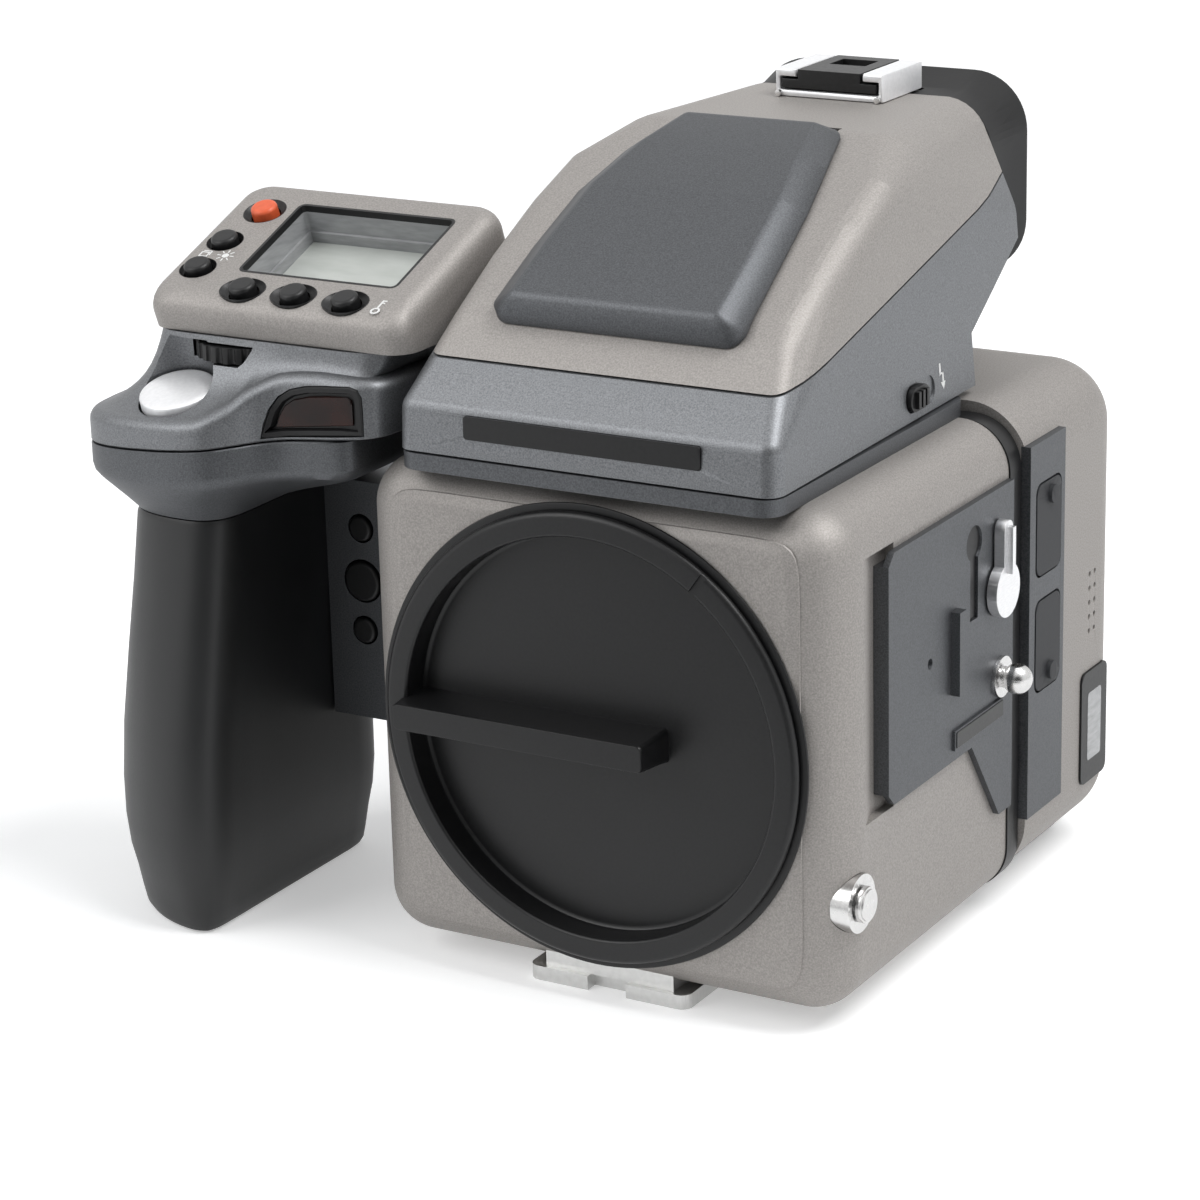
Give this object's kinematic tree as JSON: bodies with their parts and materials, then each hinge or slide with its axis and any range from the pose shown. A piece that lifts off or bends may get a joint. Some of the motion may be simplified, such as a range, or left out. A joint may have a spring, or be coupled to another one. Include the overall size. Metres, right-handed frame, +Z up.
{
  "type": "medium format digital camera",
  "caption": "Boxy medium format reflex camera with a side hand grip and tilted status display, prism finder with pop-up flash, rear sensor unit and a round body cap over the lens mount.",
  "frame": {"origin": "mouth of the tripod thread in the foot plate, on the plane the camera stands on", "axes": "+X towards the sensor unit's lock lever, -Y out of the lens mount, +Z up"},
  "size_m": [0.1489, 0.1216, 0.1382],
  "materials": {
    "taupe_paint": "fine grained satin lacquer",
    "grey_metal": "fine grained metallic lacquer",
    "black_plastic": "moulded satin black",
    "black_inner": "flocked matt black",
    "rubber": "soft matt rubber",
    "chrome": "satin plated",
    "foot_steel": "brushed",
    "optical_glass": "polished",
    "mirror_glass": "front silvered",
    "lcd_glass": "pale grey display",
    "dark_glass": "polished dark",
    "red_plastic": "moulded satin red",
    "reflector": "polished",
    "cell_wrap": "shrink film",
    "circuit_board": "solder mask"
  },
  "bodies": {
    "camera_body": {"body_shell": "taupe_paint", "lens_mount_ring": "black_plastic", "mirror_box": "black_inner", "focusing_screen": "optical_glass", "interface_frame": "black_plastic", "side_plate": "grey_metal", "strap_lug": "chrome", "sync_socket": "chrome", "foot_plate": "foot_steel", "finder_base": "grey_metal", "finder_housing": "grey_metal", "finder_cover": "taupe_paint", "front_nameplate": "black_plastic", "prism": "optical_glass", "eyepiece_lens": "optical_glass", "eyecup": "rubber", "accessory_shoe": "chrome", "grip_bridge": "grey_metal", "grip_collar": "grey_metal", "grip_shell": "grey_metal", "battery_grip": "rubber", "battery_cells": "cell_wrap", "lcd_housing": "taupe_paint", "lcd_panel": "lcd_glass", "af_frame": "black_plastic", "af_window": "dark_glass", "fasteners": "chrome"},
    "sensor_unit": {"unit_shell": "taupe_paint", "image_sensor": "dark_glass", "sensor_board": "circuit_board", "unit_base": "black_plastic", "connector_panel": "grey_metal", "side_window": "black_plastic", "rear_display": "dark_glass"},
    "flash": {"flash_lid": "grey_metal", "flash_reflector": "reflector"},
    "body_cap": {"body_cap": "black_plastic"},
    "reflex_mirror": {"reflex_mirror": "mirror_glass"},
    "sync_cap": {"sync_cap": "chrome"},
    "lock_lever": {"lock_lever": "chrome"},
    "flash_switch": {"flash_switch": "black_plastic"},
    "shoe_cover": {"shoe_cover": "black_plastic"},
    "diopter_knob": {"diopter_knob": "black_plastic"},
    "on_off_button": {"on_off_button": "red_plastic"},
    "light_button": {"light_button": "black_plastic"},
    "menu_button": {"menu_button": "black_plastic"},
    "iso_button": {"iso_button": "black_plastic"},
    "focus_button": {"focus_button": "black_plastic"},
    "flash_button": {"flash_button": "black_plastic"},
    "shutter_button": {"shutter_button": "chrome"},
    "front_wheel": {"front_wheel": "black_plastic"},
    "rear_wheel": {"rear_wheel": "black_plastic"},
    "mirror_up_button": {"mirror_up_button": "black_plastic"},
    "lens_release_button": {"lens_release_button": "black_plastic"},
    "stop_down_button": {"stop_down_button": "black_plastic"},
    "port_cover_upper": {"port_cover_upper": "rubber"},
    "port_cover_lower": {"port_cover_lower": "rubber"},
    "rear_pad": {"rear_pad": "black_plastic"},
    "rear_key_left": {"rear_key_left": "black_plastic"},
    "rear_key_right": {"rear_key_right": "black_plastic"}
  },
  "joints": [
    {"name": "cap_pull", "type": "slide", "parent": "camera_body", "child": "body_cap", "axis": [0, -1, 0], "range_m": [0, 0.045]},
    {"name": "unit_slide", "type": "slide", "parent": "camera_body", "child": "sensor_unit", "axis": [0, 1, 0], "range_m": [0, 0.06]},
    {"name": "mirror_swing", "type": "hinge", "parent": "camera_body", "child": "reflex_mirror", "pos_m": [0, 0.008, 0.06], "axis": [-1, 0, 0], "range_deg": [0, 45], "stiffness_Nm_per_rad": 0.004, "springref_deg": -17.19},
    {"name": "sync_cap_pull", "type": "slide", "parent": "camera_body", "child": "sync_cap", "axis": [1, 0, 0], "range_m": [0, 0.012]},
    {"name": "lever_turn", "type": "hinge", "parent": "camera_body", "child": "lock_lever", "pos_m": [0.0449, 0.0226, 0.0603], "axis": [1, 0, 0], "range_deg": [0, 60]},
    {"name": "flash_lift", "type": "hinge", "parent": "camera_body", "child": "flash", "pos_m": [0, 0.02773, 0.132], "axis": [-1, 0, 0], "range_deg": [0, 45]},
    {"name": "flash_catch", "type": "slide", "parent": "camera_body", "child": "flash_switch", "axis": [0, 1, 0], "range_m": [0, 0.004], "stiffness_N_per_m": 150, "springref_m": -0.002},
    {"name": "shoe_cover_slide", "type": "slide", "parent": "camera_body", "child": "shoe_cover", "axis": [0, -1, 0], "range_m": [0, 0.018]},
    {"name": "dioptre_turn", "type": "hinge", "parent": "camera_body", "child": "diopter_knob", "pos_m": [0.024, 0.045, 0.10166], "axis": [0, 0.4657, -0.8849], "range_deg": [-120, 120]},
    {"name": "on_off_press", "type": "slide", "parent": "camera_body", "child": "on_off_button", "axis": [0, 0.3584, -0.9336], "range_m": [0, 0.0008], "stiffness_N_per_m": 600, "springref_m": -0.0005},
    {"name": "light_press", "type": "slide", "parent": "camera_body", "child": "light_button", "axis": [0, 0.3584, -0.9336], "range_m": [0, 0.0008], "stiffness_N_per_m": 600, "springref_m": -0.0005},
    {"name": "menu_press", "type": "slide", "parent": "camera_body", "child": "menu_button", "axis": [0, 0.3584, -0.9336], "range_m": [0, 0.0008], "stiffness_N_per_m": 600, "springref_m": -0.0005},
    {"name": "iso_press", "type": "slide", "parent": "camera_body", "child": "iso_button", "axis": [0, 0.3584, -0.9336], "range_m": [0, 0.0008], "stiffness_N_per_m": 600, "springref_m": -0.0005},
    {"name": "focus_press", "type": "slide", "parent": "camera_body", "child": "focus_button", "axis": [0, 0.3584, -0.9336], "range_m": [0, 0.0008], "stiffness_N_per_m": 600, "springref_m": -0.0005},
    {"name": "flash_press", "type": "slide", "parent": "camera_body", "child": "flash_button", "axis": [0, 0.3584, -0.9336], "range_m": [0, 0.0008], "stiffness_N_per_m": 600, "springref_m": -0.0005},
    {"name": "shutter_press", "type": "slide", "parent": "camera_body", "child": "shutter_button", "axis": [0, 0.2924, -0.9563], "range_m": [0, 0.0008], "stiffness_N_per_m": 600, "springref_m": -0.0005},
    {"name": "front_wheel_turn", "type": "hinge", "parent": "camera_body", "child": "front_wheel", "pos_m": [-0.07, -0.0236, 0.1], "axis": [0, 0, 1], "continuous": true},
    {"name": "rear_wheel_turn", "type": "hinge", "parent": "camera_body", "child": "rear_wheel", "pos_m": [-0.0595, -0.0043, 0.1], "axis": [0, 0, 1], "continuous": true},
    {"name": "mirror_up_press", "type": "slide", "parent": "camera_body", "child": "mirror_up_button", "axis": [0, 1, 0], "range_m": [0, 0.0008], "stiffness_N_per_m": 600, "springref_m": -0.0005},
    {"name": "lens_release_press", "type": "slide", "parent": "camera_body", "child": "lens_release_button", "axis": [0, 1, 0], "range_m": [0, 0.0008], "stiffness_N_per_m": 600, "springref_m": -0.0005},
    {"name": "stop_down_press", "type": "slide", "parent": "camera_body", "child": "stop_down_button", "axis": [0, 1, 0], "range_m": [0, 0.0008], "stiffness_N_per_m": 600, "springref_m": -0.0005},
    {"name": "upper_port_open", "type": "hinge", "parent": "sensor_unit", "child": "port_cover_upper", "pos_m": [0.0455, 0.0417, 0.058], "axis": [0, 1, 0], "range_deg": [0, 95]},
    {"name": "lower_port_open", "type": "hinge", "parent": "sensor_unit", "child": "port_cover_lower", "pos_m": [0.0455, 0.0417, 0.0535], "axis": [0, -1, 0], "range_deg": [0, 95]},
    {"name": "rear_pad_press", "type": "slide", "parent": "sensor_unit", "child": "rear_pad", "axis": [0, -1, 0], "range_m": [0, 0.0008], "stiffness_N_per_m": 600, "springref_m": -0.0005},
    {"name": "rear_key_left_press", "type": "slide", "parent": "sensor_unit", "child": "rear_key_left", "axis": [0, -1, 0], "range_m": [0, 0.0008], "stiffness_N_per_m": 600, "springref_m": -0.0005},
    {"name": "rear_key_right_press", "type": "slide", "parent": "sensor_unit", "child": "rear_key_right", "axis": [0, -1, 0], "range_m": [0, 0.0008], "stiffness_N_per_m": 600, "springref_m": -0.0005}
  ]
}
